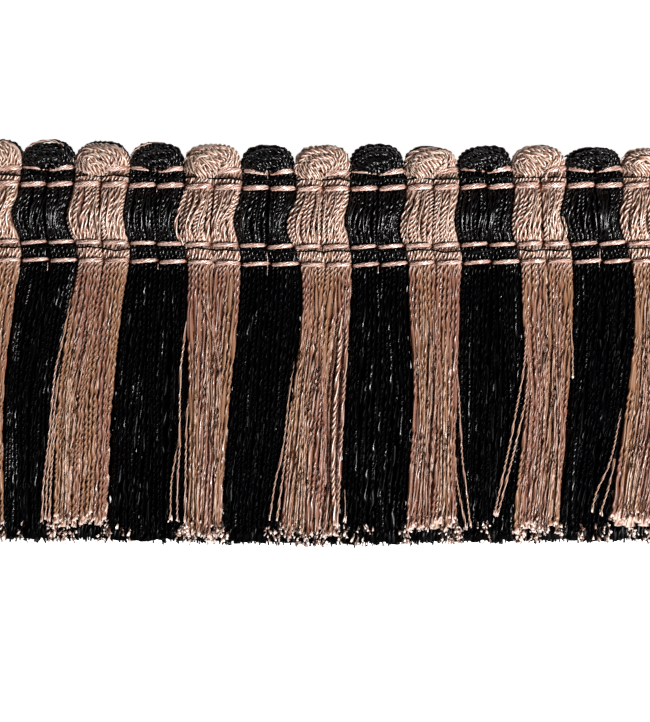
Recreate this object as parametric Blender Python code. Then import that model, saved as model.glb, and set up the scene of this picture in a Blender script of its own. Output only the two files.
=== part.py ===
"""Moss fringe: a cut length of block-coloured trimming, lying on its back with its face up.

Every block of colour is one bundle of yarn. It turns over in a round hump along the top edge,
passes under two stitched bands with a puffed stretch between them, and hangs as cut strands.
A face layer and a back layer of such blocks lie on each other in opposite colours, and six
binding threads run along the face and hold them.

+X runs along the trimming, +Y from the cut tips to the humps, and +Z out of the face. Heights
are measured from the lowest binding row until the finished trimming is centred on its origin.
"""

import bisect
import random
from collections import namedtuple

import bmesh
import bpy
from mathutils import Matrix, Vector

MM = 0.001

# Driving sizes
BLOCK_COUNT = 13
BLOCK_PITCH = 8.0 * MM
NODE_GAP = 0.3 * MM
TOP_ROW = 13.3 * MM
SECOND_ROW = 11.1 * MM
THIRD_ROW = 2.6 * MM
LOWEST_ROW = 0.0
UPPER_BAND = (TOP_ROW + SECOND_ROW) / 2
LOWER_BAND = (THIRD_ROW + LOWEST_ROW) / 2
ROOT_LINE = -1.0 * MM
BACK_TIP_LINE = -41.2 * MM

# The layers, measured up from the surface that the trimming lies on
BACK_TOP = 1.8 * MM
FACE_BOTTOM = BACK_TOP + NODE_GAP
ROOT_TOP = 4.2 * MM

# The strands
FACE_STRANDS = 9
BACK_STRANDS = 7
STRAND_GAP = 0.24 * MM
STRAND_STOPS = (0.0, 0.33, 0.66, 1.0)
TIP_SPREAD = 0.5 * MM
LIFT_SPREAD = (-0.2 * MM, 0.3 * MM)
NECK = 0.1 * MM
FACE_TIP_DROP = 0.5 * MM
BACK_TIP_DROP = 0.3 * MM
SEED = 11

# The heading bows a little: its middle lies lower than its two ends.
BOW_RISE = 0.55 * MM
BOW_TILT = -0.13 * MM
HALF_LENGTH = BLOCK_COUNT * BLOCK_PITCH / 2

# One row for each block, left to right, in millimetres: how far its hump stands above the top
# binding row, and how far its face strands hang below the lowest one.
Block = namedtuple("Block", "hump face_tips")
BLOCKS = (
    Block(3.8, 38.0),
    Block(4.2, 39.5),
    Block(4.1, 38.2),
    Block(4.0, 39.7),
    Block(3.9, 39.6),
    Block(4.2, 39.4),
    Block(4.1, 39.6),
    Block(4.4, 39.5),
    Block(3.8, 38.4),
    Block(3.9, 39.5),
    Block(3.7, 39.0),
    Block(3.5, 39.3),
    Block(3.4, 37.6),
)

# One row for each edge between two blocks, and for both ends. It gives how far the edge strays
# from its even place along the trimming, in millimetres, at each of the heights in EDGE_HEIGHTS.
Edge = namedtuple("Edge", "tips mid_skirt lower_band puff upper_band")
EDGE_HEIGHTS = Edge(-37.0 * MM, -20.0 * MM, LOWER_BAND, 7.0 * MM, UPPER_BAND)
EDGES = (
    Edge(-1.7, -1.7, 0.3, -0.6, 0.0),
    Edge(-2.6, -2.6, 0.4, -1.1, 0.1),
    Edge(-5.0, -2.7, 0.3, -1.3, -0.2),
    Edge(-3.3, -2.5, 0.1, -1.0, -0.2),
    Edge(-0.6, -0.2, 0.1, -1.1, -0.2),
    Edge(-2.9, -1.1, 0.2, -0.8, 0.4),
    Edge(-2.0, -0.6, 0.6, -0.6, 0.4),
    Edge(-1.7, -0.5, 0.6, -0.7, 0.3),
    Edge(0.0, 0.9, 0.8, -0.3, 0.3),
    Edge(-0.2, 0.0, 0.7, -0.4, 0.3),
    Edge(0.1, 1.4, 1.0, 0.1, 0.2),
    Edge(-1.0, 0.6, 0.8, -1.0, 0.1),
    Edge(-2.4, 0.3, 0.9, -0.2, 0.1),
    Edge(-2.0, 0.2, 0.8, -0.5, 0.0),
)

# One row for each cross-section of a block's heading, from its hump down. On the hump, height
# is a share of the block's own hump; below it, height is measured from the lowest binding row.
# Width is a share of the block's width there. Underside and crown are millimetres above the
# surface, and groove is how many millimetres deep the line between the block's two halves lies.
Section = namedtuple("Section", "height width underside crown groove")
FACE_HUMP = (
    Section(0.92, 0.28, 3.2, 4.5, 0.0),
    Section(0.76, 0.62, 2.4, 5.4, 0.0),
    Section(0.48, 0.88, 2.1, 6.0, 0.1),
    Section(0.20, 1.00, 2.1, 5.3, 0.3),
)
FACE_HEADING = (
    Section(TOP_ROW, 0.97, 2.1, 4.1, 0.3),
    Section(UPPER_BAND, 1.00, 2.1, 4.6, 0.4),
    Section(SECOND_ROW, 0.97, 2.1, 4.0, 0.3),
    Section(9.5 * MM, 1.00, 2.1, 5.2, 0.3),
    Section(7.0 * MM, 1.00, 2.1, 5.7, 0.3),
    Section(4.5 * MM, 1.00, 2.1, 5.2, 0.4),
    Section(THIRD_ROW, 0.97, 2.1, 4.0, 0.3),
    Section(LOWER_BAND, 1.00, 2.1, 4.5, 0.4),
    Section(LOWEST_ROW, 0.97, 2.1, 4.0, 0.3),
)
BACK_HUMP = (
    Section(1.00, 0.30, 0.6, 1.3, 0.0),
    Section(0.84, 0.66, 0.2, 1.7, 0.0),
    Section(0.52, 0.92, 0.0, 1.8, 0.0),
    Section(0.20, 1.00, 0.0, 1.8, 0.0),
)
BACK_HEADING = (Section(LOWEST_ROW, 1.0, 0.0, 1.8, 0.0),)

# The outline of one cross-section, as shares of its half width and of its height above the
# side point: up one side, over the crown with its groove, and down the other.
SIDE_SHARE = 0.45
FACE_CROWN = ((-0.74, 0.72), (-0.34, 1.0), (0.0, 1.0), (0.34, 1.0), (0.74, 0.72))
BACK_CROWN = ((-0.86, 1.0), (0.86, 1.0))

# Edges that turn by more than this, in radians, are drawn sharp.
SHARP_ANGLE = 0.7

# The binding threads: where each lies, its size, and how far the middle of a stitch lifts
Thread = namedtuple("Thread", "name height across thickness stitches_a_block lift")
THREADS = (
    Thread("rose_row_1", TOP_ROW, 0.90 * MM, 0.80 * MM, 2, 0.12 * MM),
    Thread("rose_row_2", SECOND_ROW, 0.90 * MM, 0.80 * MM, 2, 0.12 * MM),
    Thread("rose_row_3", THIRD_ROW, 0.80 * MM, 0.75 * MM, 2, 0.12 * MM),
    Thread("rose_row_4", LOWEST_ROW, 0.80 * MM, 0.75 * MM, 2, 0.12 * MM),
    Thread("black_row_upper", UPPER_BAND, 0.40 * MM, 0.35 * MM, 1, 0.0),
    Thread("black_row_lower", LOWER_BAND, 0.40 * MM, 0.35 * MM, 1, 0.0),
)
THREAD_REST = {"rose": 4.4 * MM, "black": 4.9 * MM}
STITCH_SHOULDERS = (0.16, 0.84)
PINCH = 0.5

# Colour and roughness of the two yarns and the two binding threads
FINISHES = {
    "rose_yarn": ((0.44, 0.23, 0.155, 1.0), 0.38),
    "black_yarn": ((0.006, 0.006, 0.008, 1.0), 0.35),
    "rose_binding": ((0.52, 0.28, 0.20, 1.0), 0.30),
    "black_binding": ((0.005, 0.005, 0.006, 1.0), 0.40),
}


def clear_scene():
    for old in list(bpy.data.objects):
        bpy.data.objects.remove(old, do_unlink=True)


def material_of(slot):
    material = bpy.data.materials.new(slot)
    material.use_nodes = True
    shader = material.node_tree.nodes["Principled BSDF"]
    colour, roughness = FINISHES[slot]
    shader.inputs["Base Color"].default_value = colour
    shader.inputs["Roughness"].default_value = roughness
    shader.inputs["Metallic"].default_value = 0.0
    return material


def through(heights, values, height):
    """The value at a height, on a smooth curve through the values, which are level past both ends."""
    if height <= heights[0]:
        return values[0]
    if height >= heights[-1]:
        return values[-1]
    above = bisect.bisect_right(heights, height)
    below = above - 1
    span = heights[above] - heights[below]
    share = (height - heights[below]) / span

    def slope(k):
        first, last = max(k - 1, 0), min(k + 1, len(values) - 1)
        return (values[last] - values[first]) / (heights[last] - heights[first]) * span

    square, cube = share**2, share**3
    return (
        (2 * cube - 3 * square + 1) * values[below]
        + (cube - 2 * square + share) * slope(below)
        + (3 * square - 2 * cube) * values[above]
        + (cube - square) * slope(above)
    )


def edge_at(index, height):
    """Where the edge with this index lies along the trimming, at a height."""
    even = index * BLOCK_PITCH - HALF_LENGTH
    return even + through(EDGE_HEIGHTS, EDGES[index], height) * MM


def block_span(index, height):
    """The left and right side of a block at a height, half a gap inside its edges."""
    return (
        edge_at(index, height) + NODE_GAP / 2,
        edge_at(index + 1, height) - NODE_GAP / 2,
    )


def place(along, height, up):
    """A point of the trimming, with the bow of its heading added."""
    share = along / HALF_LENGTH
    return Vector((along, height + BOW_RISE * share**2 + BOW_TILT * share, up))


def ring_of(bm, points):
    return [bm.verts.new(point) for point in points]


def bridge(bm, first, second):
    """Side faces between two rings with the same number of points."""
    for k, vert in enumerate(first):
        following = (k + 1) % len(first)
        bm.faces.new((vert, first[following], second[following], second[k]))


def zip_lines(bm, upper, lower):
    """Triangles between two lines of points that both run left to right, with any number of points."""
    i = j = 0
    while i < len(upper) - 1 or j < len(lower) - 1:
        upper_done, lower_done = i == len(upper) - 1, j == len(lower) - 1
        step_upper = lower_done or (
            not upper_done and upper[i + 1].co.x <= lower[j + 1].co.x
        )
        if step_upper:
            bm.faces.new((upper[i], upper[i + 1], lower[j]))
            i += 1
        else:
            bm.faces.new((upper[i], lower[j + 1], lower[j]))
            j += 1


def section_points(index, section, height, crown_shape):
    """One cross-section: bottom left, up over the crown, and bottom right."""
    left, right = block_span(index, min(height, TOP_ROW))
    middle, half = (left + right) / 2, (right - left) / 2 * section.width
    underside, crown = section.underside * MM, section.crown * MM
    side = underside + SIDE_SHARE * (crown - underside)
    points = [(-1.0, underside), (-1.0, side)]
    for across, share in crown_shape:
        dip = section.groove * MM if across == 0.0 else 0.0
        points.append((across, side + share * (crown - side) - dip))
    points += [(1.0, side), (1.0, underside)]
    return [place(middle + across * half, height, up) for across, up in points]


def heading_rings(bm, index, hump, heading, crown_shape):
    rings = []
    for section in hump:
        height = TOP_ROW + section.height * BLOCKS[index].hump * MM
        rings.append(ring_of(bm, section_points(index, section, height, crown_shape)))
    for section in heading:
        rings.append(ring_of(bm, section_points(index, section, section.height, crown_shape)))
    bm.faces.new(rings[0])
    for first, second in zip(rings, rings[1:]):
        bridge(bm, first, second)
    return rings[-1]


def root_cells(bm, index, last_ring, strands, bottom, top):
    """The strip where the strands leave the heading: one four-sided cell for each strand."""
    left, right = block_span(index, ROOT_LINE)
    stops = [left + (right - left) * k / strands for k in range(strands + 1)]
    lower = ring_of(bm, [place(stop, ROOT_LINE, bottom) for stop in stops])
    upper = ring_of(bm, [place(stop, ROOT_LINE, top) for stop in stops])
    over, under = last_ring[1:-1], [last_ring[0], last_ring[-1]]
    zip_lines(bm, over, upper)
    zip_lines(bm, under, lower)
    bm.faces.new((last_ring[0], last_ring[1], upper[0], lower[0]))
    bm.faces.new((last_ring[-2], last_ring[-1], lower[-1], upper[-1]))
    return [(lower[k], lower[k + 1], upper[k + 1], upper[k]) for k in range(strands)]


def strand_stations(index, number, strands, tip):
    """(left, right, height) of a strand at each stop on its way from the root line to its tip."""
    stations = []
    for stop in STRAND_STOPS:
        height = ROOT_LINE + (tip - ROOT_LINE) * stop
        left, right = block_span(index, height)
        width = (right - left) / strands
        start = left + number * width
        stations.append(
            (start + STRAND_GAP / 2, start + width - STRAND_GAP / 2, height)
        )
    return stations


def grow_strand(bm, cell, stations, bottom, tops):
    """A four-sided strand that leaves its cell of the root strip and ends in a flat cut tip."""
    previous = cell
    for (left, right, height), top in zip(stations, tops):
        corners = ((left, bottom), (right, bottom), (right, top), (left, top))
        ring = ring_of(bm, [place(x, height, z) for x, z in corners])
        bridge(bm, previous, ring)
        previous = ring
    bm.faces.new(previous)


def finish_mesh(bm, name, material):
    bmesh.ops.recalc_face_normals(bm, faces=bm.faces)
    mesh = bpy.data.meshes.new(name)
    bm.to_mesh(mesh)
    bm.free()
    mesh.materials.append(material)
    mesh.shade_smooth()
    mesh.set_sharp_from_angle(angle=SHARP_ANGLE)
    made = bpy.data.objects.new(name, mesh)
    bpy.context.scene.collection.objects.link(made)
    return made


def face_block(index, material, chance):
    """A face block: hump, stitched bands and puff in one body, with its strands fused to it."""
    bm = bmesh.new()
    last = heading_rings(bm, index, FACE_HUMP, FACE_HEADING, FACE_CROWN)
    cells = root_cells(bm, index, last, FACE_STRANDS, FACE_BOTTOM, ROOT_TOP)
    for number, cell in enumerate(cells):
        tip = -BLOCKS[index].face_tips * MM + chance.uniform(-TIP_SPREAD, TIP_SPREAD)
        lift = chance.uniform(*LIFT_SPREAD)
        stations = strand_stations(index, number, FACE_STRANDS, tip)
        tops = [ROOT_TOP - NECK, ROOT_TOP + lift, ROOT_TOP + lift, ROOT_TOP - FACE_TIP_DROP]
        grow_strand(bm, cell, stations, FACE_BOTTOM + NECK, tops)
    return finish_mesh(bm, f"face_block_{index + 1:02d}", material)


def back_block(index, material, chance):
    """A back block, flat on the surface: a plain panel, with its strands fused at the root line."""
    bm = bmesh.new()
    last = heading_rings(bm, index, BACK_HUMP, BACK_HEADING, BACK_CROWN)
    cells = root_cells(bm, index, last, BACK_STRANDS, 0.0, BACK_TOP)
    for number, cell in enumerate(cells):
        longest = number == BACK_STRANDS // 2
        tip = BACK_TIP_LINE + (0.0 if longest else chance.uniform(0.0, TIP_SPREAD))
        stations = strand_stations(index, number, BACK_STRANDS, tip)
        tops = [BACK_TOP - NECK, BACK_TOP, BACK_TOP, BACK_TOP - BACK_TIP_DROP]
        grow_strand(bm, cell, stations, 0.0, tops)
    return finish_mesh(bm, f"back_block_{index + 1:02d}", material)


def stitch_ends(thread):
    """Where the thread dips between two stitches, along the trimming."""
    ends = []
    for index in range(BLOCK_COUNT):
        left, right = edge_at(index, thread.height), edge_at(index + 1, thread.height)
        for part in range(thread.stitches_a_block):
            ends.append(left + (right - left) * part / thread.stitches_a_block)
    ends.append(edge_at(BLOCK_COUNT, thread.height))
    return ends


def binding_thread(thread, material):
    """A binding thread: a four-sided run of stitches, pinched where one ends and the next starts."""
    bm = bmesh.new()
    rest = THREAD_REST[thread.name.split("_")[0]]
    ends = stitch_ends(thread)
    ends[0] += NODE_GAP / 2
    ends[-1] -= NODE_GAP / 2
    stops = [(ends[0], PINCH, 0.0)]
    for start, end in zip(ends, ends[1:]):
        stops += [(start + (end - start) * share, 1.0, thread.lift) for share in STITCH_SHOULDERS]
        stops.append((end, PINCH, 0.0))
    previous = None
    for along, pinch, lift in stops:
        half, thick = thread.across / 2 * pinch, thread.thickness * pinch
        outline = (
            (0.0, rest),
            (half, rest + lift + thick / 2),
            (0.0, rest + lift + thick),
            (-half, rest + lift + thick / 2),
        )
        ring = ring_of(bm, [place(along, thread.height + y, z) for y, z in outline])
        if previous is None:
            bm.faces.new(ring)
        else:
            bridge(bm, previous, ring)
        previous = ring
    bm.faces.new(previous)
    return finish_mesh(bm, thread.name, material)


def centre_on_origin(objects):
    """Moves every mesh so that the origin is the middle of the underside of the whole trimming."""
    corners = [vert.co for made in objects for vert in made.data.vertices]
    middle_x = (min(c.x for c in corners) + max(c.x for c in corners)) / 2
    middle_y = (min(c.y for c in corners) + max(c.y for c in corners)) / 2
    for made in objects:
        made.data.transform(Matrix.Translation((-middle_x, -middle_y, 0.0)))


def main():
    clear_scene()
    materials = {slot: material_of(slot) for slot in FINISHES}
    yarns = (materials["rose_yarn"], materials["black_yarn"])
    chance = random.Random(SEED)
    objects = []
    for index in range(BLOCK_COUNT):
        objects.append(face_block(index, yarns[index % 2], chance))
        objects.append(back_block(index, yarns[(index + 1) % 2], chance))
    for thread in THREADS:
        colour = thread.name.split("_")[0]
        objects.append(binding_thread(thread, materials[f"{colour}_binding"]))
    centre_on_origin(objects)
    whole = bpy.data.objects.new("moss_fringe", None)
    bpy.context.scene.collection.objects.link(whole)
    for made in objects:
        made.parent = whole


main()
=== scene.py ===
import math
from collections import namedtuple
from functools import partial

import bpy
import numpy as np
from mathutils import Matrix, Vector


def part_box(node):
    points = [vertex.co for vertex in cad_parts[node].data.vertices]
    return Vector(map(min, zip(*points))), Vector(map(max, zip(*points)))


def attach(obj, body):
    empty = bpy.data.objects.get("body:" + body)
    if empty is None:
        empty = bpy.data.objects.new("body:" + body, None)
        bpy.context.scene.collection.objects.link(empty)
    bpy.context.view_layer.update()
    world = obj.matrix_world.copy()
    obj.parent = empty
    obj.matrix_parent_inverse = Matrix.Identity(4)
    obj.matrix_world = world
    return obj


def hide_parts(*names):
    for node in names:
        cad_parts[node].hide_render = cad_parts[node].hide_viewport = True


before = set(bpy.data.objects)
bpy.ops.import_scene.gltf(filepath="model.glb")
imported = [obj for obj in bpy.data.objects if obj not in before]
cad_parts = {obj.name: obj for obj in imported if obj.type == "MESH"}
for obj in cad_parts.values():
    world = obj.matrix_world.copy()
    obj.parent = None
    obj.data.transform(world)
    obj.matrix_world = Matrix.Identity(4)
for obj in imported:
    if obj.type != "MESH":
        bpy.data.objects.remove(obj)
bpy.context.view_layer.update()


# The face blocks
# Each block of colour is one bundle of two-ply viscose yarn. Every yarn comes up from its cut tip
# in the left half of the block, turns over in a round hump, and goes down again in the right
# half. The binding rows squeeze the bundle flat in two bands, and it puffs out between them.
MM = 0.001
BLOCK_PITCH = 8.0 * MM
TOP_ROW, SECOND_ROW, THIRD_ROW, LOWEST_ROW = 13.3 * MM, 11.1 * MM, 2.6 * MM, 0.0
UPPER_BAND = (TOP_ROW + SECOND_ROW) / 2
LOWER_BAND = (THIRD_ROW + LOWEST_ROW) / 2
ROOT_LINE = -1.0 * MM
ROSE, BLACK = 0, 1

# One row for each block, left to right: how far its hump stands above the top row and its front
# strands hang below the lowest one, how far the middle of the hump leans to the right, how much
# its yarns swirl, and how far the back block's hump stands above it and to its right, all in
# millimetres. The last one is how slack the plies are in the skirt. Rose and black take turns,
# and rose is first.
Block = namedtuple("Block", "hump tips lean swirl behind aside slack")
BLOCKS = (
    Block(4.25, 38.0, 0.3, 0.5, 0.35, 0.45, 0.6),
    Block(3.95, 39.5, 0.5, 0.5, -0.40, 0.00, 0.3),
    Block(3.90, 38.2, -0.2, -0.2, 0.55, 0.10, 0.4),
    Block(4.10, 39.7, 0.5, 0.7, 0.35, -0.35, 0.3),
    Block(4.20, 39.6, 0.6, 0.9, -0.60, -0.20, 1.8),
    Block(4.20, 39.4, 0.4, 0.6, -0.60, 0.00, 0.3),
    Block(4.20, 39.6, 0.2, 0.5, 0.28, 0.60, 1.0),
    Block(4.35, 39.5, 0.3, 0.5, -0.60, 0.00, 0.4),
    Block(3.75, 38.4, 0.5, 0.8, 0.35, -0.40, 1.2),
    Block(3.80, 39.5, 0.6, 0.7, -0.60, 0.00, 0.3),
    Block(3.70, 39.0, 0.3, 0.6, 0.25, 0.40, 0.6),
    Block(3.45, 39.3, 0.6, 0.5, -0.50, 0.00, 0.4),
    Block(3.40, 37.6, 0.2, 0.6, -0.50, -0.30, 1.6),
)
BLOCK_COUNT = len(BLOCKS)
HALF_LENGTH = BLOCK_COUNT * BLOCK_PITCH / 2

# One row for each edge between two blocks: how far it strays from its even place at each of the
# heights, in millimetres.
HUMP_LINE = 15.0 * MM
EDGE_HEIGHTS = np.array((
    -37.0 * MM, -20.0 * MM, -6.0 * MM, LOWER_BAND, 4.2 * MM, 6.6 * MM, 9.5 * MM, UPPER_BAND, HUMP_LINE,
))
EDGES = np.array((
    (-1.7, -1.7, -0.5, 0.3, -0.3, -0.6, -0.3, 0.0, 0.0),
    (-2.6, -2.6, -1.0, 0.0, -0.85, -1.6, -0.6, -0.2, 0.1),
    (-3.5, -2.9, -0.8, 0.2, -1.15, -1.7, -0.75, -0.3, -0.2),
    (-3.4, -2.5, -1.1, -0.1, -0.7, -1.1, -0.7, -0.3, -0.2),
    (0.0, 0.4, 0.2, 0.1, -1.0, -1.0, -0.4, -0.1, -0.2),
    (-2.6, -1.4, -0.1, 0.1, -0.65, -1.0, 0.0, 0.4, 0.1),
    (-2.2, -0.5, 1.0, 0.5, -1.15, -1.3, 0.2, 0.1, 0.0),
    (-1.5, -0.8, 0.3, 0.3, -0.35, -0.8, -0.1, 0.1, 0.0),
    (0.2, 1.3, 0.5, 0.5, -0.7, -0.65, 0.3, 0.3, 0.0),
    (-0.2, -0.2, 0.2, 0.6, -0.4, -0.7, 0.0, 0.2, -0.35),
    (0.2, 1.6, 1.2, 0.9, -0.2, -0.3, 0.15, 0.1, -0.4),
    (-1.1, 0.2, 0.9, 0.7, -0.3, -1.3, -0.65, 0.0, -0.5),
    (-2.0, 0.5, 1.7, 1.1, -0.2, -0.7, 0.1, 0.1, -0.25),
    (-2.0, 0.2, 1.0, 0.9, 0.0, -0.5, -0.2, 0.0, -0.2),
))
# The heading sags a little about the middle of its length, and its right end lies lower.
BOW_RISE, BOW_WIDE, BOW_TILT, BOW_SAG = 0.62 * MM, 23.0 * MM, -0.12 * MM, 0.06 * MM


def edge_at(index, height):
    """Where the edge lies at a height: a smooth curve through its row, level past both ends."""
    values = EDGES[index] * MM
    before = np.maximum(np.arange(len(values)) - 1, 0)
    after = np.minimum(np.arange(len(values)) + 1, len(values) - 1)
    slopes = (values[after] - values[before]) / (EDGE_HEIGHTS[after] - EDGE_HEIGHTS[before])
    height = np.clip(height, EDGE_HEIGHTS[0], EDGE_HEIGHTS[-1])
    above = np.clip(np.searchsorted(EDGE_HEIGHTS, height, side="right"), 1, len(values) - 1)
    below = above - 1
    span = EDGE_HEIGHTS[above] - EDGE_HEIGHTS[below]
    t = (height - EDGE_HEIGHTS[below]) / span
    stray = (
        (2 * t**3 - 3 * t**2 + 1) * values[below]
        + (t**3 - 2 * t**2 + t) * slopes[below] * span
        + (3 * t**2 - 2 * t**3) * values[above]
        + (t**3 - t**2) * slopes[above] * span
    )
    return index * BLOCK_PITCH - HALF_LENGTH + stray


def edges_at(index, height):
    return edge_at(index, height), edge_at(index + 1, height)


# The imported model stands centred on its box, so its first binding row says how far it moved.
ROW_ACROSS = 0.9 * MM
NODE_GAP = 0.3 * MM
row_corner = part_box("rose_row_1")[0]
shift_along = row_corner.x - edge_at(0, TOP_ROW) - NODE_GAP / 2
shift_height = row_corner.y + ROW_ACROSS / 2 - TOP_ROW


def bow_at(along):
    return BOW_RISE * (1 - np.exp(-((along / BOW_WIDE) ** 2))) + BOW_TILT * along / HALF_LENGTH - BOW_SAG


def place(along, height, up):
    """Points of the laid-out trimming in the frame, where its heading is slightly bowed."""
    risen = height + bow_at(along) + shift_height
    return np.stack(np.broadcast_arrays(along + shift_along, risen, up), axis=-1)


def smooth(low, high, value):
    """0 at low, 1 at high, and an easy curve between."""
    t = np.clip((value - low) / (high - low), 0.0, 1.0)
    return t * t * (3 - 2 * t)


# How high the bundle's crown stands at each height, and how deep the seam between its two halves
# lies, in millimetres.
CROWN_HEIGHTS = np.array((-12.0, -1.0, 0.0, 1.3, 2.6, 4.5, 7.0, 9.5, 11.1, 12.2, 13.3)) * MM
CROWNS = np.array((4.25, 4.3, 3.9, 4.55, 3.9, 5.2, 5.8, 5.2, 3.9, 4.6, 4.0)) * MM
SEAMS = np.array((0.0, 0.2, 0.6, 0.7, 0.6, 0.4, 0.3, 0.4, 0.6, 0.7, 0.6)) * MM
SEAM_HEIGHTS = np.array((-37.0 * MM, -20.0 * MM, LOWEST_ROW, THIRD_ROW, SECOND_ROW, TOP_ROW, HUMP_LINE))
FACE_BOTTOM = 2.1 * MM
YARN_RADIUS = 0.37 * MM

# One seeded run of random numbers serves the whole part, and draw takes one between two values.
chance = np.random.default_rng(11)
draw = chance.uniform


def seam_at(index, height):
    """Where the seam between a block's halves lies: it runs straight from row to row."""
    middles = sum(edges_at(index, SEAM_HEIGHTS)) / 2
    return np.interp(height, SEAM_HEIGHTS, middles)


# The strands stray from even lanes. Neighbours share a few slow bends, and each has waves and a
# drift of its own. Inside a puff each half of the block bulges and slants as one, too.
BENDS, BEND_LONG = 6, 40 * MM
BENDS_ACROSS, BENDS_DOWN, BEND_SIZE = (0.6, 3.2), (0.2, 1.6), (0.05, 0.16)
WAVES, WAVE_SIZE, WAVE_BASE = (9.0, 17.0, 37.0), (0.012, 0.036), 12.0
DRIFT, DRIFT_LONG = 0.14, 26.0
HALF_BULGE, HALF_SLANT = 0.15, 0.1
OWN_BULGE, OWN_SLANT, STIFF_SHARE = (-0.22, 0.22), (-0.18, 0.24), 0.3


class Comb:
    """How the strands of one block stray from even lanes: neighbours together, and each by itself."""

    def __init__(self, slant):
        self.bends = [
            (draw(*BENDS_ACROSS), draw(*BENDS_DOWN), draw(0, math.tau),
             draw(*BEND_SIZE) * MM)
            for _ in range(BENDS)
        ]
        self.bulges = draw(-HALF_BULGE, HALF_BULGE, 2) * MM
        self.slants = (slant + draw(-HALF_SLANT, HALF_SLANT, 2)) * MM

    def sway(self, lane, heights):
        """How far aside a strand lies in the loose skirt."""
        drift = np.zeros(len(heights))
        for across, down, phase, size in self.bends:
            drift += size * np.sin(math.tau * (across * lane + down * heights / BEND_LONG) + phase)
        for wave in WAVES:
            size = draw(*WAVE_SIZE) * MM * wave / WAVE_BASE
            drift += size * np.sin(math.tau * heights / (wave * MM) + draw(0, math.tau))
        return drift - draw(-DRIFT, DRIFT) * heights / DRIFT_LONG

    def swirl(self, lane, heights):
        """The bulge and the slant of the yarns inside a puff, different in each half of the block."""
        share = np.clip((heights - THIRD_ROW) / (SECOND_ROW - THIRD_ROW), 0.0, 1.0)
        half, inside = int(lane > 0.5), 1 - abs(abs(4 * lane - 2) - 1)
        loose = STIFF_SHARE + (1 - STIFF_SHARE) * inside
        bulge = self.bulges[half] * inside + draw(*OWN_BULGE) * MM * loose
        slant = self.slants[half] * inside + draw(*OWN_SLANT) * MM * loose
        return bulge * np.sin(math.pi * share) - slant * np.sin(math.tau * share)


# Strands nearer the face than the fill stray, and part a little at the seam. The others stay in
# their lanes. The binding holds them less and less from the root line down to the loose line, each
# stays inside its own half, and the skirt droops towards its tips.
FILL_DEPTH = 0.22
LOOSE_LINE = -8.0 * MM
SEAM_PART = 0.015
EDGE_SHARE, EDGE_POWER = 0.98, 10
SIDE_FALL = 0.42
DROOP, DROOP_HEIGHTS = 0.5 * MM, (-40 * MM, -22 * MM)
RIPPLE, RIPPLE_LONG = 0.08 * MM, (11, 24)


def strand(index, lane, heights, depth, comb, lift=0.0):
    """A strand of the bundle. Its lane is its share of the block's width, its depth 0 at the face."""
    left, right = edges_at(index, heights)
    held = smooth(LOOSE_LINE, ROOT_LINE, heights)
    side = 1 if lane > 0.5 else -1
    reach = abs(2 * lane - 1)
    seen = depth < FILL_DEPTH
    parted = reach + seen * held**3 * SEAM_PART * (1 - reach)
    seam_line = seam_at(index, heights)
    half = right - seam_line if side > 0 else seam_line - left
    aside = side * parted * half
    if seen:
        aside = aside + (1 - held) * comb.sway(lane, heights) + comb.swirl(lane, heights)
    along = seam_line + aside / (1 + abs(aside / (EDGE_SHARE * half)) ** EDGE_POWER) ** (1 / EDGE_POWER)
    crown = np.interp(heights, CROWN_HEIGHTS, CROWNS)
    seam = np.interp(heights, CROWN_HEIGHTS, SEAMS)
    room = crown - FACE_BOTTOM - 2 * YARN_RADIUS
    up = FACE_BOTTOM + YARN_RADIUS + room * (1 - SIDE_FALL * held * reach**4) * (1 - depth)
    up = up - held * seam * (1 - reach) ** 3 * (1 - depth)
    droop = DROOP * (1 - smooth(*DROOP_HEIGHTS, heights))
    turns = math.tau * heights / (draw(*RIPPLE_LONG) * MM)
    ripple = RIPPLE * np.sin(turns + draw(0, math.tau))
    return place(along, heights, up - droop + (1 - held) * ripple + lift)


# The crown of the hump, by how far from its middle a yarn's turn lies. A turn is squarer than a
# half circle, swings out past its own legs, and leans and swirls as its block does.
HUMP_REACHES = np.array((0.0, 0.2, 0.45, 0.72, 0.9, 1.0))
HUMP_CROWNS = np.array((5.7, 5.9, 6.0, 5.5, 4.8, 4.2)) * MM
OUTER_REACH, REACH_POWER = 0.93, 0.8
SIDE_POWER, TOP_POWER = 0.66, 0.72
INNER_HALF, INNER_SWING, INNER_SAG = 0.03, 0.4, 0.1 * MM
SWIRL_SHARE, CROWN_RISE = 0.7, 0.35
TURN_SHIFT, TURN_RIPPLE, RIPPLE_FADE = 0.08, (0.05, 0.16), 0.3
TURN_LIFT, TURN_TILT = 0.25, 0.15


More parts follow.
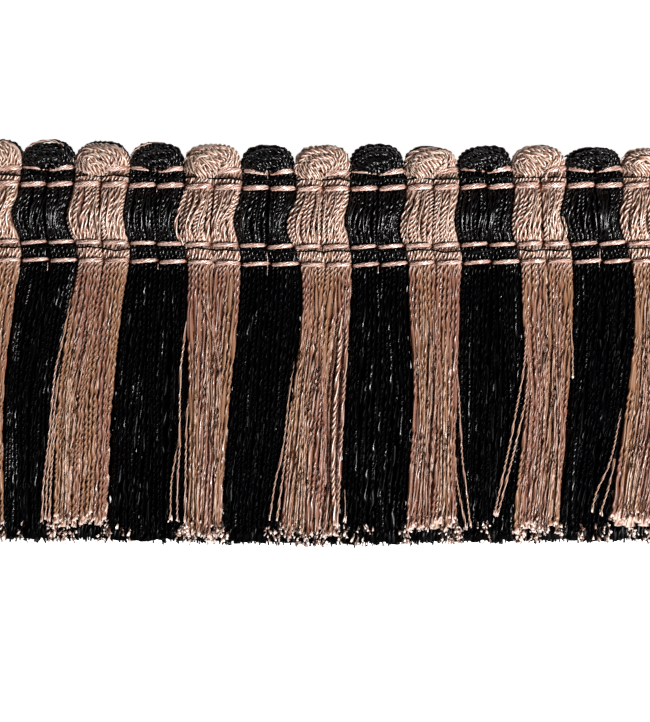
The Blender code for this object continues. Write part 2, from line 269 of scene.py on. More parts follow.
def turn_over(index, left_reach, right_reach, depth):
    """A yarn's turn over the hump, from its left half to its right half."""
    block = BLOCKS[index]
    left, right = edges_at(index, HUMP_LINE)
    half = (right - left) / 2
    turn = np.linspace(0.0, math.pi, 48)
    cosine, sine = np.cos(turn), np.sin(turn)
    reach = left_reach + (right_reach - left_reach) * (1 - cosine) / 2
    wide = half * (INNER_HALF + EDGE_SHARE * reach + INNER_SWING * (1 - reach) * sine)
    inward = 1 - reach**2
    sag = INNER_SAG * inward
    peak = (block.hump * MM - YARN_RADIUS) * np.minimum(reach / OUTER_REACH, 1.0) ** REACH_POWER
    along = (left + right) / 2 - wide * np.sign(cosine) * abs(cosine) ** SIDE_POWER
    along = along + block.lean * MM * inward * sine + draw(-TURN_SHIFT, TURN_SHIFT) * MM
    swirl = block.swirl * MM * SWIRL_SHARE * np.sin(math.pi * reach)
    ripple = draw(*TURN_RIPPLE) * MM * np.sin(3 * turn + draw(0, math.tau)) * sine
    height = TOP_ROW - sag + (peak + sag) * sine**TOP_POWER - swirl * cosine * sine
    height = height + inward**RIPPLE_FADE * ripple
    crown = np.interp(reach, HUMP_REACHES, HUMP_CROWNS) - YARN_RADIUS
    low = FACE_BOTTOM + YARN_RADIUS
    rest = np.interp(TOP_ROW, CROWN_HEIGHTS, CROWNS) - YARN_RADIUS
    up = low + (rest + (crown - rest) * smooth(0.0, CROWN_RISE, sine) - low) * (1 - depth)
    lift = draw(-TURN_LIFT, TURN_LIFT) * sine
    lift = lift + draw(-TURN_TILT, TURN_TILT) * np.sin(2 * turn)
    return place(along, height, up + lift * MM)


# A folded yarn starts on the hump's outline and ends lower, further to the right. The first ones
# start low on the left, and the last ones at the top, from where they run down the right side.
FOLD_START, FOLD_RISE, FOLD_LEFT, FOLD_SPAN = 0.1, 1.4, 0.45, 1.4
FOLD_INSET, FOLD_END, FOLD_END_SHARES = 0.1 * MM, 0.6 * MM, (0.3, 0.65)
DOME_POWER, DOME_SOFT = 3, 0.6
FOLD_LIFT = 0.3
HEAD_SINK, HEAD_SHARE = 0.8 * MM, 0.1
TAIL_SINK, TAIL_SHARE = 1.4 * MM, 0.85


def fold_over(index, share, low):
    """A yarn which comes from behind the hump's left side and lies over its front, to the right."""
    left, right = edges_at(index, HUMP_LINE)
    middle, half = (left + right) / 2, (right - left) / 2
    crest = BLOCKS[index].hump * MM - YARN_RADIUS
    rise = FOLD_START + FOLD_RISE * share
    first = crest * math.sin(rise)
    last = low + (FOLD_END - low) * float(smooth(*FOLD_END_SHARES, share))
    start = middle - (half - FOLD_INSET) * math.cos(rise)
    end = middle + half * (FOLD_SPAN * share - FOLD_LEFT)
    t = np.linspace(0.0, 1.0, 30)
    along = start + (end - start) * t
    straight = first + (last - first) * t
    aside = np.clip(abs(along - middle) / half, 0.0, 1.0)
    dome = crest * np.sqrt(1 - aside**2)
    bulge = np.maximum(dome - straight, 0.0) * share**DOME_POWER
    height = straight + bulge * np.sin(math.pi * t) ** DOME_SOFT
    reach = np.clip(np.sqrt(aside**2 + (np.maximum(height, 0.0) / crest) ** 2), 0.0, 1.0)
    up = np.interp(reach, HUMP_REACHES, HUMP_CROWNS) - YARN_RADIUS + draw(0.0, FOLD_LIFT) * MM
    up = up - HEAD_SINK * (1 - smooth(0.0, HEAD_SHARE, t)) - TAIL_SINK * smooth(TAIL_SHARE, 1.0, t)
    return place(along, TOP_ROW + height, up)


def sums(steps):
    return np.concatenate(([0.0], np.cumsum(steps)))


def stops(where, known, path):
    """The points of a path at other places along it."""
    return np.stack([np.interp(where, known, path[:, k]) for k in range(3)], axis=1)


def soften(path, step, rounds):
    """The path with its corners rounded: even steps, each point drawn towards its neighbours."""
    lengths = sums(np.linalg.norm(np.diff(path, axis=0), axis=1))
    path = stops(np.linspace(0.0, lengths[-1], max(int(lengths[-1] / step), 3) + 1), lengths, path)
    for _ in range(rounds):
        path[1:-1] = path[1:-1] / 2 + (path[:-2] + path[2:]) / 4
    return path


# What each point of a yarn knows for its material: its yarn's tone, how far off its cut end is, how
# much painted shade it gets (on stray ends, a darker tone drawn at random), and how taut it is.
LAYERS = ("yarn_tone", "yarn_cut", "yarn_painted_shade_and_tone", "yarn_taut")


class Skein:
    """The yarns of one piece: their points and faces, and for each where it lies on its yarn."""

    def __init__(self):
        self.points, self.corners, self.sizes, self.places, self.layers = [], [], [], [], []
        self.count = 0

    def add(self, points, quads, places, *layers):
        around = points.shape[1]
        last = len(points) - 1
        caps = np.stack((np.arange(around)[::-1], np.arange(around) + last * around)) + self.count
        self.points.append(points.reshape(-1, 3))
        self.corners += [(quads + self.count).ravel(), caps.ravel()]
        self.sizes += [np.full(len(quads), 4), np.full(2, around)]
        self.places += [places.reshape(-1, 2), np.zeros((2 * around, 2))]
        self.layers.append(np.repeat(layers, around, axis=1))
        self.count += len(points) * around

    def recut(self, far):
        """Has the yarn that was laid last look equally far from its cut end all along."""
        self.layers[-1][LAYERS.index("yarn_cut")] = far

    def wind(self, name, material):
        """Makes the piece from all its yarns."""
        points, corners = np.concatenate(self.points), np.concatenate(self.corners)
        sizes = np.concatenate(self.sizes)
        mesh = bpy.data.meshes.new(name)
        mesh.vertices.add(len(points))
        mesh.vertices.foreach_set("co", points.astype(np.float32).ravel())
        mesh.loops.add(len(corners))
        mesh.loops.foreach_set("vertex_index", corners.astype(np.int32))
        mesh.polygons.add(len(sizes))
        mesh.polygons.foreach_set("loop_start", (np.cumsum(sizes) - sizes).astype(np.int32))
        mesh.polygons.foreach_set("use_smooth", np.ones(len(sizes), bool))
        around_along = mesh.uv_layers.new(name="yarn").uv
        around_along.foreach_set("vector", np.concatenate(self.places).astype(np.float32).ravel())
        for label, values in zip(LAYERS, np.concatenate(self.layers, axis=1)):
            layer = mesh.attributes.new(label, "FLOAT", "POINT")
            layer.data.foreach_set("value", values.astype(np.float32))
        mesh.update(calc_edges=True)
        mesh.materials.append(material)
        piece = bpy.data.objects.new(name, mesh)
        bpy.context.scene.collection.objects.link(piece)
        return piece


# A yarn's cut face, as shares of its radius: two plies side by side, or a plain square where only
# glimpses of it show. A spinning says how often it is modelled in each turn, and how long a turn is.
PLIES = np.array((
    (0.96, 0.0), (0.64, 0.42), (0.0, 0.12), (-0.64, 0.42),
    (-0.96, 0.0), (-0.64, -0.42), (0.0, -0.12), (0.64, -0.42),
))
WAISTS = np.array((0.0, 0.0, 1.0, 0.0, 0.0, 0.0, -1.0, 0.0))
OVAL = np.array(((0.96, 0.0), (0.42, 0.42), (-0.42, 0.42), (-0.96, 0.0), (-0.42, -0.42), (0.42, -0.42)))
SQUARE = np.array(((1.0, 0.0), (0.0, 1.0), (-1.0, 0.0), (0.0, -1.0)))
Spinning = namedtuple("Spinning", "section rings twist slack limp")
FINE = (Spinning(PLIES, 6.3, 1.8 * MM, 0.8, 1.0), Spinning(PLIES, 5.7, 1.8 * MM, 0.1, 0.6))
MIDDLE = (Spinning(OVAL, 4.5, 2.3 * MM, 0.8, 1.0), Spinning(OVAL, 4, 2.6 * MM, 0.2, 1.0))
LOOSE = Spinning(PLIES, 6, 2.2 * MM, 0.2, 0.5)
TIGHT = Spinning(PLIES, 6, 2.2 * MM, 0.0, 0.0)
PLAIN = Spinning(SQUARE, 22, 40.0 * MM, 0.0, 0.0)
CORE = Spinning(SQUARE, 50, 40.0 * MM, 0.0, 0.0)

# The twist and the thickness differ from yarn to yarn and wander along each. A cut end flares. In
# the skirt, below the taut heights, a yarn is thinner and its plies are slacker and fuller.
UNCUT = 9.0
STEP = 0.15 * MM
TWISTS, WANDER, WANDER_LONG = (0.8, 1.3), 2.3, (7, 13)
SIZES, SWELL, SWELL_LONG = (0.88, 1.1), 0.05, (5, 9)
FLARE, FLARE_LONG = 0.12, 0.9
TAUT_HEIGHTS, SLACK_DROP = (-2.5 * MM, 0.8 * MM), 6 * MM
FULLER, THINNER = 0.3, 0.12

# Painted shade: how dark a yarn is painted all along where it lies hidden or at the seam, how dark
# where the binding rows pinch and shadow it, and how dark at its ends, where a stitch dives in. On
# the stray ends it is a darker tone drawn at random instead.
Shade = namedtuple("Shade", "all pinched ends")
BARE = Shade(0.0, 0.0, 0.0)
FRONT_SHADE = Shade(0.0, 0.6, 0.0)
BEHIND_SHADE = (Shade(0.35, 0.8, 0.0), Shade(0.7, 0.9, 0.0))
SEAM_SHADE = (Shade(0.9, 0.9, 0.0), Shade(0.5, 0.9, 0.0))
PINCH = 0.4 * MM
PINCHED_ROWS = (TOP_ROW, SECOND_ROW, THIRD_ROW, LOWEST_ROW)
SUNK = 0.7 * MM


def lay_yarn(skein, path, radius, spinning, shade=BARE, cut_ends=(True, True), rounds=1):
    """Lays one yarn along a path, which may be given in any steps. Its plies lean like a letter Z."""
    section, rings, twist, slack, limp = spinning
    path = soften(path, STEP, rounds)
    steps = np.linalg.norm(np.diff(path, axis=0), axis=1)
    slacker = 1 + slack * smooth(0.0, SLACK_DROP, shift_height - path[1:, 1])
    twist = twist * draw(*TWISTS) * slacker
    turns, lengths = sums(steps / twist), sums(steps)
    where = np.linspace(0.0, turns[-1], max(int(turns[-1] * rings), 2) + 1)
    centre, along = stops(where, turns, path), np.interp(where, turns, lengths)
    tangent = np.gradient(centre, axis=0)
    tangent /= np.linalg.norm(tangent, axis=1)[:, None]
    side = np.cross((0.0, 0.0, 1.0), tangent)
    side /= np.linalg.norm(side, axis=1)[:, None] + 1e-9
    over = np.cross(tangent, side)
    turn = draw(0.0, math.tau) + math.tau * where
    turn = turn + WANDER * np.sin(math.tau * along / (draw(*WANDER_LONG) * MM))
    cuts = np.full(len(along), UNCUT)
    if cut_ends[0]:
        cuts = np.minimum(cuts, along / MM)
    if cut_ends[1]:
        cuts = np.minimum(cuts, (along[-1] - along) / MM)
    swell = radius * (1 + SWELL * np.sin(math.tau * along / (draw(*SWELL_LONG) * MM)))
    swell = swell * (1 + FLARE * (1 - smooth(0.0, FLARE_LONG, cuts)))
    height = centre[:, 1] - shift_height - bow_at(centre[:, 0] - shift_along)
    taut = 1 - limp * (1 - smooth(*TAUT_HEIGHTS, height))
    # The painted shade: darker where a binding row pinches the yarn and shadows it, and at its ends.
    pinch = sum(np.exp(-(((height - row) / PINCH) ** 2)) for row in PINCHED_ROWS)
    sunk = 1 - smooth(0.0, SUNK, np.minimum(along, along[-1] - along))
    deep = np.clip(np.maximum(shade.all, np.maximum(shade.pinched * pinch, shade.ends * sunk)), 0.0, 1.0)
    swell = swell * (1 - THINNER * (1 - taut)) * draw(*SIZES)
    wide, thick = section[:, 0], section[:, 1] + np.zeros((len(along), 1))
    if section is PLIES:
        thick = thick + FULLER * (1 - taut)[:, None] * WAISTS
    across = wide * np.cos(turn)[:, None] - thick * np.sin(turn)[:, None]
    upward = wide * np.sin(turn)[:, None] + thick * np.cos(turn)[:, None]
    ring = across[:, :, None] * side[:, None, :] + upward[:, :, None] * over[:, None, :]
    points = centre[:, None, :] + swell[:, None, None] * ring
    stations, around = points.shape[:2]
    row, column = np.meshgrid(np.arange(stations - 1), np.arange(around), indexing="ij")
    rows = np.stack((row, row, row + 1, row + 1), axis=-1)
    columns = np.stack((column, column + 1, column + 1, column), axis=-1)
    quads = rows * around + columns % around
    places = np.stack((columns / around, along[rows] / MM), axis=-1)
    skein.add(points, quads.reshape(-1, 4), places, np.full(stations, draw()), cuts, deep, taut)


# The cut ends: a tuft of filaments on a yarn, the black teeth of the lower edge, and stray ends in
# clusters between them. What is drawn between two values is in millimetres or a share.
THREAD = np.array([(math.cos(a), math.sin(a)) for a in np.linspace(0, math.tau, 4)[:-1]])
FRAYED = Spinning(THREAD, 3, 1.8 * MM, 0.0, 0.0)
TUFT_WIDE, TUFT_SPREAD, TUFT_LIFT = 0.15, 0.5, (-0.2, 0.1)
TUFT_LONG, TUFT_RADIUS, TUFT_SHADES = (0.2, 1.1), (0.07, 0.12), (0.0, 0.0, 0.7)
TUFT_ROOT, TUFT_DROP, TUFT_BEND, TUFT_LOW = 0.7 * MM, 0.35, 0.2, 0.2 * MM
TEETH, TOOTH_LANES, TOOTH_ROOT, TOOTH_LINE = 13, (0.2, 0.8), 1.0 * MM, 41.2
TOOTH_LONG, TOOTH_UP, TOOTH_RADIUS = (-0.1, 0.45), 0.5 * MM, 0.17 * MM
FLECK_LONG, FLECK_RADIUS, FLECK_SHADES = (0.4, 1.1), (0.08, 0.22), (0.0, 0.0, 0.4, 0.8)
FLECK_LEAN, FLECK_UP, FLECK_RISE = 0.8, 0.6, (0.5, 1.1)
CLUSTERS, CLUSTER_WIDE = 5, 0.05


def stray_end(skein, points, radius, shade):
    """One short filament, which is as pale as a cut end all along."""
    lay_yarn(skein, points, draw(*radius) * MM, FRAYED, shade)
    skein.recut(0.0)


def fray(skein, tip, count):
    """The cut end of a yarn: a tuft of short loose filaments."""
    for _ in range(count):
        lean = draw(-1, 1) * TUFT_SPREAD
        long = draw(*TUFT_LONG) * MM
        start = tip + np.array((draw(-TUFT_WIDE, TUFT_WIDE) * MM, TUFT_ROOT, 0.0))
        end = tip + np.array((lean * long, -long * TUFT_DROP, draw(*TUFT_LIFT) * MM))
        middle = (start + end) / 2 + np.array((lean * TUFT_BEND * long, 0.0, 0.0))
        end[2] = max(end[2], TUFT_LOW)
        shade = Shade(chance.choice(TUFT_SHADES), 0.0, 0.0)
        stray_end(skein, np.array((start, middle, end)), TUFT_RADIUS, shade)


def teeth(skein, index):
    """The lowest black tips, which stick out one by one past the closed edge."""
    height = -TOOTH_LINE * MM
    left, right = edges_at(index, height)
    for number in range(TEETH):
        along = left + (right - left) * (number + draw(*TOOTH_LANES)) / TEETH
        tip = height - draw(*TOOTH_LONG) * MM
        heights = np.array((height + TOOTH_ROOT, height, tip))
        lay_yarn(skein, place(np.full(3, along), heights, TOOTH_UP), TOOTH_RADIUS, FRAYED)


def flecks(skein, index, count, edgewise, tips, low):
    """Stray ends at all angles. The more edgewise, the nearer to the block's middle they gather."""
    clusters = chance.beta(edgewise, edgewise, CLUSTERS)
    for _ in range(count):
        lane = np.clip(chance.choice(clusters) + chance.normal(0.0, CLUSTER_WIDE), 0.0, 1.0)
        height = -draw(*tips) * MM
        left, right = edges_at(index, height)
        lean, long = draw(-FLECK_LEAN, FLECK_LEAN), draw(*FLECK_LONG) * MM
        up = low + draw(0.0, FLECK_UP) * MM
        start = place(left + (right - left) * lane, height + long / 2, up)
        end = start + np.array((lean * long, -long, draw(*FLECK_RISE) * MM))
        shade = Shade(chance.choice(FLECK_SHADES), 0.0, 0.0)
        stray_end(skein, np.array((start, (start + end) / 2, end)), FLECK_RADIUS, shade)


# What a yarn's material says, how its fibres, its patches of gloss and the tones which neighbours
# share lie, and how strongly each of them shows. It paints a highlight on the ply crests, stronger
# where the yarn is taut, and paints shade in the grooves between the plies, on the flanks which
# face away from above, and where the yarn lies hidden.
YARN_COLOURS = ("Yarn Colour", "Second Colour", "Painted Crest Highlight", "Painted Shade Colour", "Cut End Colour")
YARN_VALUES = ("Roughness", "Gloss", "Slack Gloss", "Fibres Around")
FIBRES_ALONG, PATCHES_ALONG, YARNS_APART = 0.5, 0.16, 91.7
TONES_ALONG, TONES_DOWN, TONE_CONTRAST = 420.0, 30.0, 3.4
UNEVEN, UNEVEN_DYE, UNEVEN_GLOSS = 0.9, 0.6, 0.4
CREST_HIGHLIGHT_POWER, CREST_HIGHLIGHT_TAUT, CREST_HIGHLIGHT_SLACK = 2.5, 0.8, 0.06
GROOVE_SHADE_POWER, GROOVE_SHADE_TAUT, GROOVE_SHADE_SLACK, SHADE_FIBRES = 6.0, 0.55, 0.2, 0.9
FLANK_SHADE_POWER, FLANK_SHADE_SLACK, FLANK_SHADE_TAUT = 1.5, 0.6, 0.25
CUT_FIBRES, CUT_FADE, CUT_MOST = 1.7, 2.2, 0.9
ROUGH_FIBRES, PATCH_START, PATCH_EDGE, TAUT_GLOSS, SHADE_GLOSS = 0.15, 0.62, 8.0, 4.0, 2.0


def spun_yarn_group():
    """What every yarn shares: its tone, a painted highlight on its ply crests, painted shade in the
    grooves between its plies, on its flanks and where it lies hidden, its fibres, its cut end.
    """
    group = bpy.data.node_groups.new("spun_yarn", "ShaderNodeTree")
    for label in YARN_COLOURS:
        group.interface.new_socket(label, in_out="INPUT", socket_type="NodeSocketColor")
    for label in YARN_VALUES:
        group.interface.new_socket(label, in_out="INPUT", socket_type="NodeSocketFloat")
    for label in ("Colour", "Roughness", "Gloss", "Fibres"):
        kind = "NodeSocketColor" if label == "Colour" else "NodeSocketFloat"
        group.interface.new_socket(label, in_out="OUTPUT", socket_type=kind)
    nodes, link = group.nodes, group.links.new
    given, result = nodes.new("NodeGroupInput").outputs, nodes.new("NodeGroupOutput").inputs

    def worked(operation, *values):
        node = nodes.new("ShaderNodeMath")
        node.operation = operation
        for k, value in enumerate(values):
            if isinstance(value, (int, float)):
                node.inputs[k].default_value = value
            else:
                link(value, node.inputs[k])
        return node.outputs[0]

    times, plus, minus, power = (
        partial(worked, operation) for operation in ("MULTIPLY", "ADD", "SUBTRACT", "POWER")
    )

    def swung(value, size):
        """A value about one half made one about zero."""
        return times(minus(value, 0.5), size)

    def limited(value, low, high):
        return worked("MAXIMUM", worked("MINIMUM", value, high), low)

    def mixed(factor, first, second):
        node = nodes.new("ShaderNodeMix")
        node.data_type = "RGBA"
        link(factor, node.inputs["Factor"])
        link(first, node.inputs["A"])
        link(second, node.inputs["B"])
        return node.outputs["Result"]

    def noise(across, along, apart, detail):
        joined = nodes.new("ShaderNodeCombineXYZ")
        for k, value in enumerate((across, along, apart)):
            if isinstance(value, float):
                joined.inputs[k].default_value = value
            else:
                link(value, joined.inputs[k])
        node = nodes.new("ShaderNodeTexNoise")
        node.inputs["Scale"].default_value = 1.0
        node.inputs["Detail"].default_value = detail
        link(joined.outputs[0], node.inputs["Vector"])
        return node.outputs["Fac"]

    around_along = nodes.new("ShaderNodeUVMap")
    around_along.uv_map = "yarn"
    split = nodes.new("ShaderNodeSeparateXYZ")
    link(around_along.outputs["UV"], split.inputs[0])
    around, along = split.outputs["X"], split.outputs["Y"]
    layers = []
    for label in LAYERS:
        layer = nodes.new("ShaderNodeAttribute")
        layer.attribute_name = label
        layers.append(layer.outputs["Fac"])
    tone, cut, deep, taut = layers
    apart = times(tone, YARNS_APART)
    across = times(around, given["Fibres Around"])
    fibres = noise(across, times(along, FIBRES_ALONG), apart, 2.0)
    slow = noise(0.0, times(along, PATCHES_ALONG), apart, 1.0)
    uneven = swung(tone, UNEVEN)
    spot = nodes.new("ShaderNodeSeparateXYZ")
    link(nodes.new("ShaderNodeTexCoord").outputs["Object"], spot.inputs[0])
    shared = noise(times(spot.outputs["X"], TONES_ALONG), times(spot.outputs["Y"], TONES_DOWN), 0.0, 0.0)
    shared = swung(shared, TONE_CONTRAST)
    blend = plus(plus(shared, 0.5), times(uneven, UNEVEN_DYE))
    blend = limited(blend, 0.0, 1.0)
    colour = mixed(blend, given["Yarn Colour"], given["Second Colour"])
    # The groove lies between the plies: the crests get a painted highlight, the groove painted shade.
    groove = worked("ABSOLUTE", worked("SINE", times(around, math.tau)))
    # The crests get a painted highlight, strongest where the yarn is taut in the heading.
    raised = plus(times(taut, CREST_HIGHLIGHT_TAUT), CREST_HIGHLIGHT_SLACK)
    crest = times(minus(1.0, power(groove, CREST_HIGHLIGHT_POWER)), raised)
    colour = mixed(crest, colour, given["Painted Crest Highlight"])
    facing = nodes.new("ShaderNodeSeparateXYZ")
    link(nodes.new("ShaderNodeNewGeometry").outputs["Normal"], facing.inputs[0])
    # Painted shade on the flanks which face away from above and in the grooves, varied by the fibres,
    # and at least as dark as the yarn's own painted shade.
    flank_shade = minus(1.0, worked("ABSOLUTE", facing.outputs["Z"]))
    shaded = minus(FLANK_SHADE_SLACK, times(taut, FLANK_SHADE_TAUT))
    flank_shade = times(power(flank_shade, FLANK_SHADE_POWER), shaded)
    firm = plus(times(taut, GROOVE_SHADE_TAUT), GROOVE_SHADE_SLACK)
    painted_shade = plus(times(power(groove, GROOVE_SHADE_POWER), firm), flank_shade)
    painted_shade = limited(plus(painted_shade, swung(fibres, SHADE_FIBRES)), 0.0, 1.0)
    painted_shade = worked("MAXIMUM", painted_shade, deep)
    colour = mixed(painted_shade, colour, given["Painted Shade Colour"])
    frayed = limited(minus(times(fibres, CUT_FIBRES), times(cut, CUT_FADE)), 0.0, CUT_MOST)
    frayed = times(frayed, minus(1.0, deep))
    link(mixed(frayed, colour, given["Cut End Colour"]), result["Colour"])
    rough = plus(given["Roughness"], swung(fibres, ROUGH_FIBRES))
    link(rough, result["Roughness"])
    patch = plus(slow, times(uneven, UNEVEN_GLOSS))
    patch = times(minus(patch, PATCH_START), PATCH_EDGE)
    patch = limited(patch, given["Slack Gloss"], 1.0)
    gloss = worked("MAXIMUM", patch, power(taut, TAUT_GLOSS))
    gloss = times(gloss, power(minus(1.0, painted_shade), SHADE_GLOSS))
    link(times(given["Gloss"], gloss), result["Gloss"])
    link(fibres, result["Fibres"])
    return group


spun_yarn = spun_yarn_group()
Dye = namedtuple("Dye", "colour second crest line cut")
Sheen = namedtuple("Sheen", "rough gloss slack_gloss fibres")


def yarn_material(name, dye, sheen, coated):
    material = bpy.data.materials.new(name)
    material.use_nodes = True
    nodes, link = material.node_tree.nodes, material.node_tree.links.new
    shader = nodes["Principled BSDF"]
    yarn = nodes.new("ShaderNodeGroup")
    yarn.node_tree = spun_yarn
    for label, colour in zip(YARN_COLOURS, dye):
        yarn.inputs[label].default_value = (*colour, 1.0)
    for label, value in zip(YARN_VALUES, sheen):
        yarn.inputs[label].default_value = value
    relief = nodes.new("ShaderNodeBump")
    relief.inputs["Strength"].default_value = 0.3
    relief.inputs["Distance"].default_value = 0.05 * MM
    link(yarn.outputs["Colour"], shader.inputs["Base Color"])
    link(yarn.outputs["Roughness"], shader.inputs["Roughness"])
    link(yarn.outputs["Fibres"], relief.inputs["Height"])
    link(relief.outputs["Normal"], shader.inputs["Normal"])
    link(yarn.outputs["Gloss"], shader.inputs["Specular IOR Level"])
    if coated:
        link(yarn.outputs["Gloss"], shader.inputs["Coat Weight"])
        link(relief.outputs["Normal"], shader.inputs["Coat Normal"])
        shader.inputs["Coat Roughness"].default_value = 0.25
    shader.inputs["IOR"].default_value = 1.7
    return material


# The third colour of each dye is a painted highlight on the ply crests, the fourth the painted shade for
# the grooves, the flanks and the hidden yarns.
ROSE_DYE = Dye(
    (0.22, 0.108, 0.052), (0.175, 0.070, 0.045), (0.88, 0.68, 0.56), (0.18, 0.055, 0.024),
    (0.85, 0.70, 0.63),
)
BLACK_DYE = Dye(
    (0.0008, 0.0008, 0.0012), (0.0016, 0.0016, 0.0020), (0.0012, 0.0012, 0.0016),
    (0.0004, 0.0004, 0.0005), (0.003, 0.003, 0.003),
)
YARNS = (
    yarn_material("rose_yarn", ROSE_DYE, Sheen(0.42, 0.95, 0.25, 10.0), True),
    yarn_material("black_yarn", BLACK_DYE, Sheen(0.28, 0.55, 0.02, 10.0), False),
)

# Yarns which have worked loose from their block and lie over its neighbours, each with its points:
# how far along from the middle of the length, how far above the lowest row, and how high up.
LOOSE_RADIUS, LOOSE_STEP = 0.2, 0.5 * MM
Loose = namedtuple("Loose", "block path radius spinning", defaults=(LOOSE_RADIUS, LOOSE))
LOOSE_YARNS = (
    Loose(1, ((-43.9, 13.9, 1.6), (-43.6, 16.0, 1.7), (-42.6, 17.0, 1.8), (-41.1, 17.6, 1.8),
        (-39.5, 17.8, 1.8), (-38.2, 17.6, 1.8), (-37.3, 17.1, 1.8), (-36.7, 16.3, 1.8),
        (-36.3, 15.3, 1.7), (-36.1, 14.2, 1.6)), 0.3),
    Loose(1, ((-43.2, 14.2, 2.4), (-42.6, 16.0, 2.6), (-41.2, 16.9, 2.8), (-39.6, 17.1, 2.8),
        (-38.3, 16.9, 2.8), (-37.5, 16.4, 2.6), (-36.9, 15.6, 2.4), (-36.5, 14.2, 2.0)), 0.3),
    Loose(2, ((-36.6, -4.0, 3.0), (-37.4, -9.0, 4.0), (-38.2, -13.0, 4.4), (-39.0, -16.0, 4.4),
        (-39.5, -21.0, 4.4), (-39.9, -26.0, 4.4), (-40.8, -33.3, 4.3), (-41.0, -38.3, 3.9))),
    Loose(2, ((-38.0, -14.0, 3.2), (-38.9, -19.0, 4.0), (-39.5, -26.0, 4.4), (-40.2, -32.0, 4.3),
        (-40.5, -38.0, 3.9)), 0.26),
    Loose(2, ((-38.3, -19.0, 3.2), (-39.1, -25.0, 4.2), (-39.6, -31.0, 4.4), (-39.95, -38.1, 3.9)),
        0.24),
    Loose(4, ((-19.9, 10.3, 4.4), (-20.6, 8.3, 4.9), (-21.1, 6.6, 5.1), (-21.6, 4.8, 5.0),
        (-21.1, 3.6, 4.7), (-20.2, 2.6, 4.1)), 0.3, TIGHT),
    Loose(4, ((-18.0, -3.8, 3.2), (-17.5, -5.5, 4.5), (-16.8, -7.3, 4.6), (-15.9, -10.6, 4.6),
        (-15.1, -14.6, 4.5), (-14.9, -18.0, 3.6)), 0.15),
    Loose(4, ((-19.2, -6.0, 3.0), (-20.0, -9.5, 4.0), (-20.3, -12.7, 4.3), (-20.7, -15.4, 4.4),
        (-20.8, -20.4, 4.4), (-20.8, -27.5, 4.4), (-21.2, -32.4, 4.3), (-21.2, -37.9, 4.0))),
    Loose(4, ((-19.2, -18.0, 3.0), (-19.8, -22.0, 4.0), (-19.9, -27.4, 4.4), (-20.1, -38.0, 4.0))),
    Loose(4, ((-20.0, -22.0, 2.8), (-21.0, -26.0, 3.8), (-22.1, -32.2, 4.2), (-22.2, -37.8, 4.0))),
    Loose(6, ((-3.6, 14.7, 4.8), (-4.35, 14.1, 5.2), (-4.1, 13.4, 5.3), (-3.5, 12.9, 5.2),
        (-2.7, 12.5, 5.0), (-1.0, 12.4, 4.3)), 0.27, TIGHT),
    Loose(6, ((-4.0, -14.0, 3.0), (-4.8, -18.5, 4.0), (-5.3, -24.1, 4.4), (-5.9, -28.2, 4.4),
        (-6.8, -31.4, 4.3), (-7.7, -37.4, 4.0))),
    Loose(6, ((-3.8, -17.0, 3.0), (-4.6, -21.5, 4.0), (-5.1, -26.3, 4.4), (-5.8, -31.4, 4.4),
        (-6.6, -37.4, 4.0))),
    Loose(6, ((3.6, -3.0, 3.4), (3.6, -12.0, 4.6), (3.1, -20.0, 4.8), (2.6, -30.0, 4.7),
        (2.2, -38.4, 4.2)), 0.28),
    Loose(6, ((2.9, -4.0, 3.4), (2.6, -12.0, 4.6), (2.1, -18.0, 4.8), (1.7, -24.0, 4.8),
        (1.6, -31.0, 4.7), (1.9, -38.2, 4.2)), 0.3, TIGHT),
    Loose(6, ((3.2, -32.0, 3.2), (3.4, -34.5, 4.0), (3.4, -37.5, 4.0)), 0.12),
    Loose(8, ((19.2, -13.0, 3.0), (19.9, -17.0, 4.0), (20.2, -23.0, 4.3), (20.5, -29.0, 4.3),
        (21.1, -33.2, 4.3), (21.7, -38.6, 4.0))),
    Loose(8, ((19.2, -25.0, 3.0), (19.6, -31.1, 4.0), (20.2, -34.7, 4.3), (21.1, -38.8, 4.0))),
    Loose(10, ((32.7, 12.0, 4.6), (32.5, 13.1, 5.2), (33.4, 13.8, 5.5), (34.8, 13.7, 5.4),
        (35.3, 12.9, 5.2), (34.6, 12.1, 4.6))),
    Loose(10, ((35.1, 6.5, 4.8), (35.5, 5.3, 5.0), (35.9, 4.4, 4.9), (35.8, 3.4, 4.6),
        (35.3, 2.9, 4.2))),
    Loose(10, ((30.8, -6.0, 3.0), (30.0, -10.0, 4.0), (29.5, -15.8, 4.4), (27.5, -26.5, 4.4),
        (25.2, -37.0, 4.0))),
    Loose(10, ((31.0, -11.0, 3.0), (30.3, -15.0, 4.0), (29.8, -20.2, 4.4), (28.0, -28.0, 4.4),
        (25.7, -37.0, 4.0))),
    Loose(10, ((35.6, -6.0, 3.0), (36.3, -9.0, 3.9), (36.6, -12.0, 4.4), (36.7, -17.0, 4.0))),
    Loose(11, ((35.2, 15.3, 2.5), (36.2, 15.6, 3.0), (38.0, 16.2, 3.6), (40.4, 16.5, 4.0),
        (41.9, 15.6, 3.6))),
    Loose(12, ((44.8, -17.0, 3.0), (43.6, -22.5, 4.2), (42.7, -27.2, 4.4), (41.8, -30.4, 4.4),
        (40.8, -32.2, 4.4), (39.9, -34.2, 4.3), (39.5, -36.6, 4.1))),
    Loose(12, ((43.6, -25.0, 3.0), (42.5, -30.6, 4.2), (41.8, -33.5, 4.3), (40.7, -37.0, 4.0))),
)


def lay_loose(skein, yarns, index, rounds):
    """Lays a block's loose yarns. Those which end in the skirt have a frayed tip."""
    for loose in yarns:
        if loose.block == index:
            along, height, up = np.array(loose.path).T * MM
            path = soften(place(along, height, up), LOOSE_STEP, rounds)
            lay_yarn(skein, path, loose.radius * MM, loose.spinning)
            if height[-1] < LOOSE_LINE:
                fray(skein, path[-1], FRAYS[ROSE])


